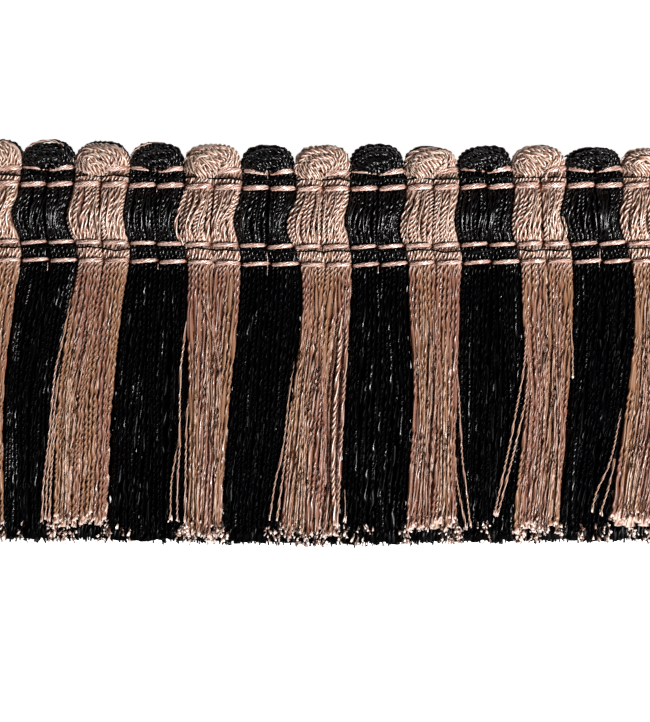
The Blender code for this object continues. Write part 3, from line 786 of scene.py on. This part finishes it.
# Each block has turned yarns in front, shorter ones in the gaps behind them, and thick plain ones
# behind those, so that the bundle is closed. The thick plain ones and the cores get painted shade,
# darker still at the seam. What is looked up by colour has its rose value first.
SLANTS, USUAL_SLANT = {0: 0.3, 2: 0.25, 4: 0.6, 6: 0.3, 10: 0.3, 12: 0.3}, 0.1
BELOW_TURN = TOP_ROW - 0.2 * MM
TURNS, TURN_START, TURN_JITTER = 7, 0.6, 0.15
TURN_TIPS, LEG_LIFT, FRAYS = (-1.3, 0.8), (-0.1, 0.11), (2, 0)
CORE_REACHES, CORE_BOTTOM = (0.18, 0.42, 0.66, 0.86), -10 * MM
CORE_DEPTH, CORE_TURN_DEPTH, CORE_RADIUS = 0.45, 0.2, 0.45 * MM
LANES, LANE_JITTER, LANE_ENDS = 12, 0.4, (0.01, 0.99)
LANE_TIPS, LANE_LIFT = ((-1.0, 1.0), (0.4, 1.4)), (-0.05, 0.075)
LANE_TOP, LANE_DEPTH = 0.5 * MM, 0.2
FILL_LANES, FILL_RADIUS = 15, 0.5 * MM
FILL_RISE, FILL_DOME, SEAM_WIDE = 0.5, 1.1, 0.1
SKIRT_LEFT, SKIRT_WIDE, SKIRT_DEPTHS = 0.06, 0.88, (0.34, 0.5)
SKIRT_TIPS, SKIRT_STRAYS = (38.6, 41.0), ((-0.8, 0.6), (-0.35, 0.2))
OUTER_SIDES, SIDE_DEPTHS, SIDE_OUT = {0: -1, BLOCK_COUNT - 1: 1}, (0.25, 0.55, 0.85), 0.2 * MM
FOLDS, FOLD_JITTER, FOLD_RADIUS = (15, 8), 0.3, YARN_RADIUS * 0.85
FOLD_LOWS = (-0.9 * MM, 0.75 * MM)
FLECKS, FLECKS_EDGEWISE, FLECK_LOW = (64, 12), 1.0, 0.8 * MM
FLECK_TIPS = ((38.8, 41.2), (40.6, 41.2))

# Thin strokes lie aslant over the puffs, and thin wisps lie over the skirt and sink into it.
STROKE = Spinning(SQUARE, 5, 3.0 * MM, 0.0, 0.0)
STROKES, STROKE_LEAST, STROKE_MOST = (7, 12), -0.05, (0.14, 0.26)
STROKE_LANES, STROKE_ENDS = (0.04, 0.96), (0.02, 0.98)
STROKE_RISE, STROKE_RADIUS = 0.38 * MM, (0.1, 0.17)
WISP = Spinning(SQUARE, 3, 2.2 * MM, 0.3, 0.5)
WISPS, WISP_LANES, WISP_DRIFT = (9, 0), (0.12, 0.88), 0.7
WISP_TOPS, WISP_TIPS = (-18.0, -1.5), (-1.5, 0.6)
WISP_RISE, WISP_SINK, WISP_RADIUS = 0.34 * MM, 0.15, (0.12, 0.2)
for index, block in enumerate(BLOCKS):
    colour = index % 2
    skein, comb = Skein(), Comb(SLANTS.get(index, USUAL_SLANT))
    fine, middle = FINE[colour]._replace(slack=block.slack), MIDDLE[colour]._replace(slack=block.slack)
    partners = np.arange(TURNS)
    for number in range(int(chance.integers(2)), TURNS - 2, 2):
        partners[number], partners[number + 1] = number + 1, number
    for number in range(TURNS):
        jitter = draw(-TURN_JITTER, TURN_JITTER, 2)
        reaches = (np.array((number, partners[number])) + TURN_START + jitter) / TURNS
        legs = []
        for side, reach in zip((-1, 1), reaches):
            tip = (block.tips + draw(*TURN_TIPS)) * MM
            heights = np.linspace(-tip, BELOW_TURN, 110)
            lift = draw(*LEG_LIFT) * MM
            legs.append(strand(index, 0.5 + side * reach / 2, heights, 0.0, comb, lift))
            fray(skein, legs[-1][0], FRAYS[colour])
        path = np.concatenate((legs[0], turn_over(index, *reaches, 0.0), legs[1][::-1]))
        # The front yarns get painted shade where the binding rows pinch them.
        lay_yarn(skein, path, YARN_RADIUS, fine, FRONT_SHADE, rounds=6)
    for reach in CORE_REACHES:
        heights = np.linspace(CORE_BOTTOM, BELOW_TURN, 40)
        legs = [strand(index, 0.5 + side * reach / 2, heights, CORE_DEPTH, comb) for side in (-1, 1)]
        path = np.concatenate((legs[0], turn_over(index, reach, reach, CORE_TURN_DEPTH), legs[1][::-1]))
        lay_yarn(skein, path, CORE_RADIUS, CORE, BEHIND_SHADE[colour], rounds=6)
    for number in range(LANES):
        lane = np.clip((number + 0.5 + draw(-LANE_JITTER, LANE_JITTER)) / LANES, *LANE_ENDS)
        heights = np.linspace(-(block.tips + draw(*LANE_TIPS[colour])) * MM, LANE_TOP, 70)
        path = strand(index, lane, heights, LANE_DEPTH, comb, draw(*LANE_LIFT) * MM)
        lay_yarn(skein, path, YARN_RADIUS, middle, BARE, (True, False))
        fray(skein, path[0], FRAYS[colour] // 2)
    for number in range(FILL_LANES):
        lane = number / (FILL_LANES - 1)
        reach = abs(2 * lane - 1)
        top = TOP_ROW + (FILL_RISE + FILL_DOME * (1 - reach)) * MM
        path = strand(index, lane, np.linspace(LANE_TOP, top, 40), FILL_DEPTH, comb)
        # The fill at the seam is painted darker, as the shade in the seam between the halves.
        shade = SEAM_SHADE[colour] if reach < SEAM_WIDE else BEHIND_SHADE[colour]
        lay_yarn(skein, path, YARN_RADIUS, PLAIN, shade, (False, False))
    for number in range(FILL_LANES):
        lane = SKIRT_LEFT + SKIRT_WIDE * number / (FILL_LANES - 1)
        tip = (SKIRT_TIPS[colour] + draw(*SKIRT_STRAYS[colour])) * MM
        path = strand(index, lane, np.linspace(-tip, TOP_ROW, 40), draw(*SKIRT_DEPTHS), comb)
        lay_yarn(skein, path, FILL_RADIUS, PLAIN, BEHIND_SHADE[colour], (True, False))
    if index in OUTER_SIDES:
        outer = OUTER_SIDES[index]
        for depth in SIDE_DEPTHS:
            heights = np.linspace(-block.tips * MM, TOP_ROW, 90)
            path = strand(index, 0.5 + outer / 2, heights, depth, comb) + (outer * SIDE_OUT, 0.0, 0.0)
            lay_yarn(skein, path, YARN_RADIUS, middle)
    for number in range(FOLDS[colour]):
        share = (number + 0.5 + draw(-FOLD_JITTER, FOLD_JITTER)) / FOLDS[colour]
        lay_yarn(skein, fold_over(index, share, FOLD_LOWS[colour]), FOLD_RADIUS, FINE[colour])
    flecks(skein, index, FLECKS[colour], FLECKS_EDGEWISE, FLECK_TIPS[colour], FLECK_LOW)
    if colour == BLACK:
        teeth(skein, index)
    for _ in range(STROKES[colour]):
        lane, aslant = draw(*STROKE_LANES), draw(STROKE_LEAST, STROKE_MOST[colour])
        heights = np.linspace(THIRD_ROW + 0.2 * MM, SECOND_ROW - 0.2 * MM, 24)
        ends = [strand(index, np.clip(end, *STROKE_ENDS), heights, 0.0, comb)
                for end in (lane - aslant / 2, lane + aslant / 2)]
        share = np.linspace(0.0, 1.0, 24)[:, None]
        path = ends[0] * (1 - share) + ends[1] * share
        path[:, 2] += STROKE_RISE * np.sin(math.pi * share[:, 0]) ** 0.5
        lay_yarn(skein, path, draw(*STROKE_RADIUS) * MM, STROKE)
    for _ in range(WISPS[colour]):
        top, tip = draw(*WISP_TOPS) * MM, (block.tips + draw(*WISP_TIPS)) * MM
        path = strand(index, draw(*WISP_LANES), np.linspace(-tip, top, 60), 0.0, comb)
        path[:, 0] += draw(-WISP_DRIFT, WISP_DRIFT) * MM * np.linspace(0.0, 1.0, len(path))
        path[:, 2] += WISP_RISE * smooth(0.0, WISP_SINK, np.linspace(1.0, 0.0, len(path)))
        lay_yarn(skein, path, draw(*WISP_RADIUS) * MM, WISP)
    lay_loose(skein, LOOSE_YARNS, index, 6)
    piece = skein.wind(f"face_yarn_{index + 1:02d}", YARNS[colour])
    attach(piece, "root")
    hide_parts(f"face_block_{index + 1:02d}")


# The back blocks
# The back layer is made of the same bundles in the opposite colours, lying flat on the surface.
# Their humps show a little past the face blocks, and their cut ends mix with the face's.
BACK_SLANT, BACK_TURNS = 0.05, 7
BACK_RADIUS, BACK_HEIGHT, BACK_RISE = 0.32 * MM, 0.36 * MM, 2.2 * MM
BACK_LEVELS = (0.0, 0.6 * MM, 1.2 * MM, 1.8 * MM)
HEART_SHARE, HEART_UP, HEART_RADIUS = 0.78, 1.1 * MM, 0.8 * MM
BACK_TIPS, BACK_STRAYS, BACK_FILL_STRAYS = (41.2, 40.6), (-0.3, 0.2), (0.1, 0.5)
BACK_LIFT, BACK_LIFT_HEIGHTS, BACK_FILL_UP = 0.15 * MM, (-41 * MM, -38 * MM), 0.9 * MM
BACK_FLECKS, BACK_EDGEWISE, BACK_FLECK_TIPS, BACK_FLECK_LOW = (0, 30), 0.35, (38.2, 40.9), 2.8 * MM
BACK = Spinning(OVAL, 3.7, 3.0 * MM, 0.5, 1.0)
BACK_LOOSE = (
    Loose(1, ((-44.2, 13.8, 2.8), (-43.95, 15.3, 3.6), (-43.4, 16.2, 4.0), (-42.6, 16.9, 4.2),
        (-41.2, 17.4, 4.4), (-39.5, 17.5, 4.5), (-38.3, 17.1, 4.5), (-37.5, 16.5, 4.4),
        (-37.0, 15.7, 4.4), (-36.6, 14.9, 4.2), (-36.1, 14.2, 4.2), (-35.9, 13.7, 3.6)), 0.19),
    Loose(3, ((-28.2, 14.4, 4.0), (-27.9, 15.5, 4.6), (-27.1, 16.4, 5.0), (-26.2, 16.95, 5.0),
        (-25.2, 17.2, 4.8), (-24.2, 17.3, 4.0)), 0.17),
)


def back_strand(index, lane, tip, comb, up):
    """A strand of the back layer. It lies flat, and only its tip rises a little."""
    heights = np.linspace(-tip, TOP_ROW, 90)
    path = strand(index, lane, heights, 1.0, comb)
    path[:, 2] = up + BACK_LIFT * (1 - smooth(*BACK_LIFT_HEIGHTS, heights))
    return path


for index, block in enumerate(BLOCKS):
    skein, comb = Skein(), Comb(BACK_SLANT)
    face, colour = index % 2, (index + 1) % 2
    left, right = edges_at(index, HUMP_LINE)
    peak = (block.hump + block.behind) * MM - BACK_RADIUS
    turn = np.linspace(0.0, math.pi, 30)[1:-1]
    sine, cosine = np.sin(turn), np.cos(turn)
    for number in range(BACK_TURNS):
        reach = (number + 0.5) / BACK_TURNS
        legs = []
        for side in (-1, 1):
            tip = (BACK_TIPS[face] + draw(*BACK_STRAYS)) * MM
            legs.append(back_strand(index, 0.5 + side * reach / 2, tip, comb, BACK_HEIGHT))
        height = TOP_ROW + peak * min(reach / OUTER_REACH, 1) ** REACH_POWER * sine**TOP_POWER
        across = (right - left) / 2 * reach * np.sign(cosine) * abs(cosine) ** SIDE_POWER
        over = place((left + right) / 2 - across + block.aside * MM * sine, height, BACK_HEIGHT)
        if number == BACK_TURNS - 1:
            over[:, 2] += BACK_RISE * sine
        path = np.concatenate((legs[0], over, legs[1][::-1]))
        lay_yarn(skein, path, BACK_RADIUS, BACK, rounds=4)
    for level in BACK_LEVELS:
        below = over + (0.0, 0.0, level) - (0.0, 0.0, BACK_RISE) * sine[:, None]
        lay_yarn(skein, below, BACK_RADIUS, BACK, BARE, (False, False))
    # A thick heart fills the hump. It and the fill strands get painted shade, as hidden yarn.
    height = TOP_ROW + peak * HEART_SHARE * sine**TOP_POWER
    heart = place((left + right) / 2 - across * HEART_SHARE, height, HEART_UP)
    lay_yarn(skein, heart, HEART_RADIUS, CORE, BEHIND_SHADE[colour], (False, False))
    for number in range(FILL_LANES):
        tip = (BACK_TIPS[face] - draw(*BACK_FILL_STRAYS)) * MM
        path = back_strand(index, number / (FILL_LANES - 1), tip, comb, BACK_HEIGHT + BACK_FILL_UP)
        lay_yarn(skein, path, FILL_RADIUS, PLAIN, BEHIND_SHADE[colour], (True, False))
    flecks(skein, index, BACK_FLECKS[face], BACK_EDGEWISE, BACK_FLECK_TIPS, BACK_FLECK_LOW)
    if colour == BLACK:
        teeth(skein, index)
    lay_loose(skein, BACK_LOOSE, index, 3)
    piece = skein.wind(f"back_yarn_{index + 1:02d}", YARNS[colour])
    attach(piece, "root")
    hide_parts(f"back_block_{index + 1:02d}")


# The rose binding rows
# Four rows of glossy binding thread hold the bundles down, two stitches to a block. Each stitch
# is a flat float of hardly twisted floss, which dives into the heading at both ends.
Row = namedtuple("Row", "height across")
ROSE_ROWS = (Row(TOP_ROW, 0.92), Row(SECOND_ROW, 0.95), Row(THIRD_ROW, 0.7), Row(LOWEST_ROW, 0.68))
STITCH_GAP, STITCH_UP, STITCH_ARCH, STITCH_TURNS = 0.12 * MM, 3.45, 1.1 * MM, 1.1
STITCH_JITTER, STITCH_SIZES, USUAL_TILTS = (-0.06, 0.06), (0.92, 1.05), (0.1, 0.4)
STITCH_FULL, STITCH_ENDS, STITCH_HEART, HEART_DOWN = 0.18, 0.1, 0.3, 0.1 * MM
STITCH_FILAMENTS, FILAMENT_OUT, FILAMENT_UP = 7, 0.37, 0.16 * MM
FILAMENT_RADIUS, FILAMENT_LEAST = 0.125 * MM, 0.4
FILAMENT = np.array([(math.cos(a), math.sin(a)) for a in np.linspace(0, math.tau, 6)[:-1]])
BINDING = Spinning(FILAMENT, 10, 6.0 * MM, 0.0, 0.0)
TYING = Spinning(SQUARE, 4, 1.0 * MM, 0.0, 0.0)
# Painted shade on the binding: darker where a stitch dives into the heading, and a dark heart inside the
# filaments which shows as shade between them. Its dye's third colour is a painted highlight on the
# crests, its fourth the painted shade.
DIVING_SHADE = Shade(0.0, 0.0, 0.9)
HEART_SHADE = Shade(0.9, 0.0, 0.9)
BINDING_DYE = Dye(
    (0.52, 0.25, 0.17), (0.66, 0.41, 0.32), (0.84, 0.66, 0.58), (0.14, 0.026, 0.010), (0.85, 0.75, 0.68),
)

# In the top row both stitches of a block slope down to its seam, by colour. A black block's left
# one is narrower, with a share for each block, and a rose block's left one lies the deeper.
TOP_LIFTS, TOP_TILTS, ROSE_DEEP = (0.1, 0.15), ((-0.2, 0.4), (-0.35, 0.45)), (1.2, -0.2)
LEFT_STITCHES = (0.45, 0.75, 0.9, 0.4, 0.4, 0.9)
rose_binding = yarn_material("rose_binding", BINDING_DYE, Sheen(0.3, 1.0, 1.0, 5.0), True)

# The short pale ends of tying thread which stand out at the seams: how far along, and the heights
# of the upper and the lower end, in millimetres.
Tie = namedtuple("Tie", "row along top bottom")
TIE_RADIUS, TIE_UP, TIE_STRAY, TIE_CUT = 0.055 * MM, 0.1 * MM, 0.08, 0.5
TIES = (
    Tie(4, -40.1, -0.4, -1.6),
    Tie(4, -24.0, -0.3, -1.2),
    Tie(4, -8.0, 1.7, -1.7),
    Tie(1, -8.0, 13.6, 12.5),
    Tie(4, 8.2, -0.3, -1.4),
    Tie(4, 24.6, -0.3, -1.0),
    Tie(4, 40.6, 1.9, -0.9),
    Tie(2, -24.1, 10.6, 10.1),
    Tie(2, -20.2, 10.5, 10.0),
)


def stitch(skein, start, end, height, across, tilt, up):
    """One float of the binding thread between two points, with its right end a tilt higher."""
    share = np.linspace(0.0, 1.0, 16)
    arch = np.clip(np.sin(math.pi * share), 0.0, 1.0)
    full = STITCH_ENDS + (1 - STITCH_ENDS) * arch**STITCH_FULL
    along, level = start + (end - start) * share, height + tilt * (share - 0.5)
    top = up + STITCH_ARCH * arch**0.5
    # A dark heart inside the filaments, painted as the shade between them.
    heart = place(along, level, top - HEART_DOWN)
    lay_yarn(skein, heart, STITCH_HEART * across, BINDING, HEART_SHADE, (False, False))
    radius = FILAMENT_RADIUS * (FILAMENT_LEAST + (1 - FILAMENT_LEAST) * across / MM)
    for k in range(STITCH_FILAMENTS):
        angle = math.tau * (k / STITCH_FILAMENTS - STITCH_TURNS * share)
        wide = FILAMENT_OUT * across * np.cos(angle) * full
        path = place(along, level + wide, top + FILAMENT_UP * np.sin(angle))
        lay_yarn(skein, path, radius, BINDING, DIVING_SHADE, (False, False))


for number, row in enumerate(ROSE_ROWS):
    skein = Skein()
    for index in range(BLOCK_COUNT):
        left, right = edges_at(index, row.height)
        middle = (left + right) / 2
        lift, tilts, across, deep = 0.0, draw(*USUAL_TILTS, 2), (1.0, 1.0), (0.0, 0.0)
        colour = index % 2
        if number == 0:
            lift, tilts = TOP_LIFTS[colour], TOP_TILTS[colour]
        if number == 0 and colour == BLACK:
            across = (LEFT_STITCHES[index // 2], 1.0)
        if number == 0 and colour == ROSE:
            deep = ROSE_DEEP
        for half, (start, end) in enumerate(((left, middle), (middle, right))):
            stitch(
                skein, start + STITCH_GAP, end - STITCH_GAP,
                row.height + (lift + draw(*STITCH_JITTER)) * MM,
                row.across * MM * across[half] * draw(*STITCH_SIZES),
                tilts[half] * MM, (STITCH_UP - deep[half]) * MM,
            )
    for tie in TIES:
        if tie.row == number + 1:
            heights = np.linspace(tie.top, tie.bottom, 8) * MM
            along = (tie.along + draw(-TIE_STRAY, TIE_STRAY, 8)) * MM
            up = np.interp(heights, CROWN_HEIGHTS, CROWNS) + TIE_UP
            lay_yarn(skein, place(along, heights, up), TIE_RADIUS, TYING)
            skein.recut(TIE_CUT)
    piece = skein.wind(f"rose_binding_{number + 1}", rose_binding)
    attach(piece, "root")
    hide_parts(f"rose_row_{number + 1}")


# The black binding threads
# A fine black thread runs along each band between its two rose rows. It sags a little in each
# half block, and shows only on the rose ones.
# Its fourth colour, a little darker than its own black, is the painted shade.
BLACK_BINDING_DYE = Dye(*[(grey, grey, grey) for grey in (0.001, 0.001, 0.001, 0.0005, 0.002)])
black_binding = yarn_material("black_binding", BLACK_BINDING_DYE, Sheen(0.42, 0.06, 0.06, 8.0), False)
THREAD_RADIUS, THREAD_UP, THREAD_ARCH = 0.16 * MM, 4.2 * MM, 0.5 * MM
THREAD_SAG, THREAD_RIPPLE = (-0.4, 0.3), 0.06 * MM
LOWER_THREAD = LOWER_BAND + 0.5 * MM
for name, height in (("upper", UPPER_BAND), ("lower", LOWER_THREAD)):
    skein = Skein()
    ends = [edge_at(index, height) for index in range(BLOCK_COUNT + 1)]
    ends[0] += NODE_GAP / 2
    ends[-1] -= NODE_GAP / 2
    stretches = []
    for start, end in zip(ends, ends[1:]):
        for first, last in ((start, (start + end) / 2), ((start + end) / 2, end)):
            share = np.linspace(0.0, 1.0, 14)[:-1]
            sag = draw(*THREAD_SAG) * MM * np.sin(math.pi * share)
            sag = sag + THREAD_RIPPLE * np.sin(math.tau * (2 * share + draw()))
            up = THREAD_UP + THREAD_ARCH * np.sin(math.pi * share) ** 0.6
            stretches.append(place(first + (last - first) * share, height + sag, up))
    lay_yarn(skein, np.concatenate(stretches), THREAD_RADIUS, BINDING, BARE, (False, False), rounds=4)
    piece = skein.wind(f"black_binding_{name}", black_binding)
    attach(piece, "root")
    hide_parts(f"black_row_{name}")


# The floor
# A plain white surface with a little light of its own, as on a light table.
FLOOR_HALF, FLOOR_DROP = 1.0, 0.02 * MM
SEEN_GLOW, CAST_GLOW = 0.75, 0.2
floor_mesh = bpy.data.meshes.new("floor")
corners = [(x * FLOOR_HALF, y * FLOOR_HALF, 0.0) for x, y in ((-1, -1), (1, -1), (1, 1), (-1, 1))]
floor_mesh.from_pydata(corners, [], [(0, 1, 2, 3)])
floor = bpy.data.objects.new("floor", floor_mesh)
floor.location.z = -FLOOR_DROP
bpy.context.scene.collection.objects.link(floor)
paper = bpy.data.materials.new("paper")
paper.use_nodes = True
paper_shader = paper.node_tree.nodes["Principled BSDF"]
for label, value in (
    ("Base Color", (0.8, 0.8, 0.8, 1.0)),
    ("Roughness", 0.9),
    ("Specular IOR Level", 0.0),
    ("Emission Color", (1.0, 1.0, 1.0, 1.0)),
):
    paper_shader.inputs[label].default_value = value
seen_or_not = paper.node_tree.nodes.new("ShaderNodeLightPath")
glow = paper.node_tree.nodes.new("ShaderNodeMath")
glow.operation = "MULTIPLY_ADD"
glow.inputs[1].default_value, glow.inputs[2].default_value = SEEN_GLOW, CAST_GLOW
paper.node_tree.links.new(seen_or_not.outputs["Is Camera Ray"], glow.inputs[0])
paper.node_tree.links.new(glow.outputs[0], paper_shader.inputs["Emission Strength"])
floor_mesh.materials.append(paper)


# The light
# A small soft key stands low to the right and in front, and a wide weak fill to the left. The room
# adds a faint warm light of its own.
world = bpy.data.worlds.new("studio")
world.use_nodes = True
background = world.node_tree.nodes["Background"]
background.inputs["Color"].default_value = (1.0, 0.42, 0.22, 1.0)
background.inputs["Strength"].default_value = 0.06
bpy.context.scene.world = world


def soft_light(name, direction, distance, size, power):
    """A lit rectangle which faces the middle of the part, in metres and watts."""
    data = bpy.data.lights.new(name, "AREA")
    data.shape = "RECTANGLE"
    data.size, data.size_y = size
    data.energy = power
    lamp = bpy.data.objects.new(name, data)
    towards = Vector(direction).normalized()
    lamp.location = towards * distance
    lamp.rotation_mode = "QUATERNION"
    lamp.rotation_quaternion = (-towards).to_track_quat("-Z", "Y")
    bpy.context.scene.collection.objects.link(lamp)


soft_light("key", (0.50, -0.40, 0.77), 0.50, (0.14, 0.26), 5.4)
soft_light("fill", (-0.60, 0.35, 0.45), 0.60, (0.30, 0.30), 0.3)


# The camera
# It looks straight down, as the photograph does, and takes in the same part of the length.
FRAME_WIDE, FRAME_TALL = 650, 722
MM_A_PIXEL = 0.14625
MIDDLE_COLUMN, LOWEST_ROW_LINE = 322, 264
FACE_HEIGHT = 4.2 * MM
camera_data = bpy.data.cameras.new("camera")
camera_data.sensor_fit = "VERTICAL"
camera_data.sensor_height = 36.0
camera_data.lens = 100.0
camera = bpy.data.objects.new("camera", camera_data)
camera.location = (
    shift_along + (FRAME_WIDE / 2 - MIDDLE_COLUMN) * MM_A_PIXEL * MM,
    shift_height + (LOWEST_ROW_LINE - FRAME_TALL / 2) * MM_A_PIXEL * MM,
    FACE_HEIGHT + FRAME_TALL * MM_A_PIXEL * MM * camera_data.lens / camera_data.sensor_height,
)
bpy.context.scene.collection.objects.link(camera)
bpy.context.scene.camera = camera
bpy.context.scene.view_settings.view_transform = "Standard"
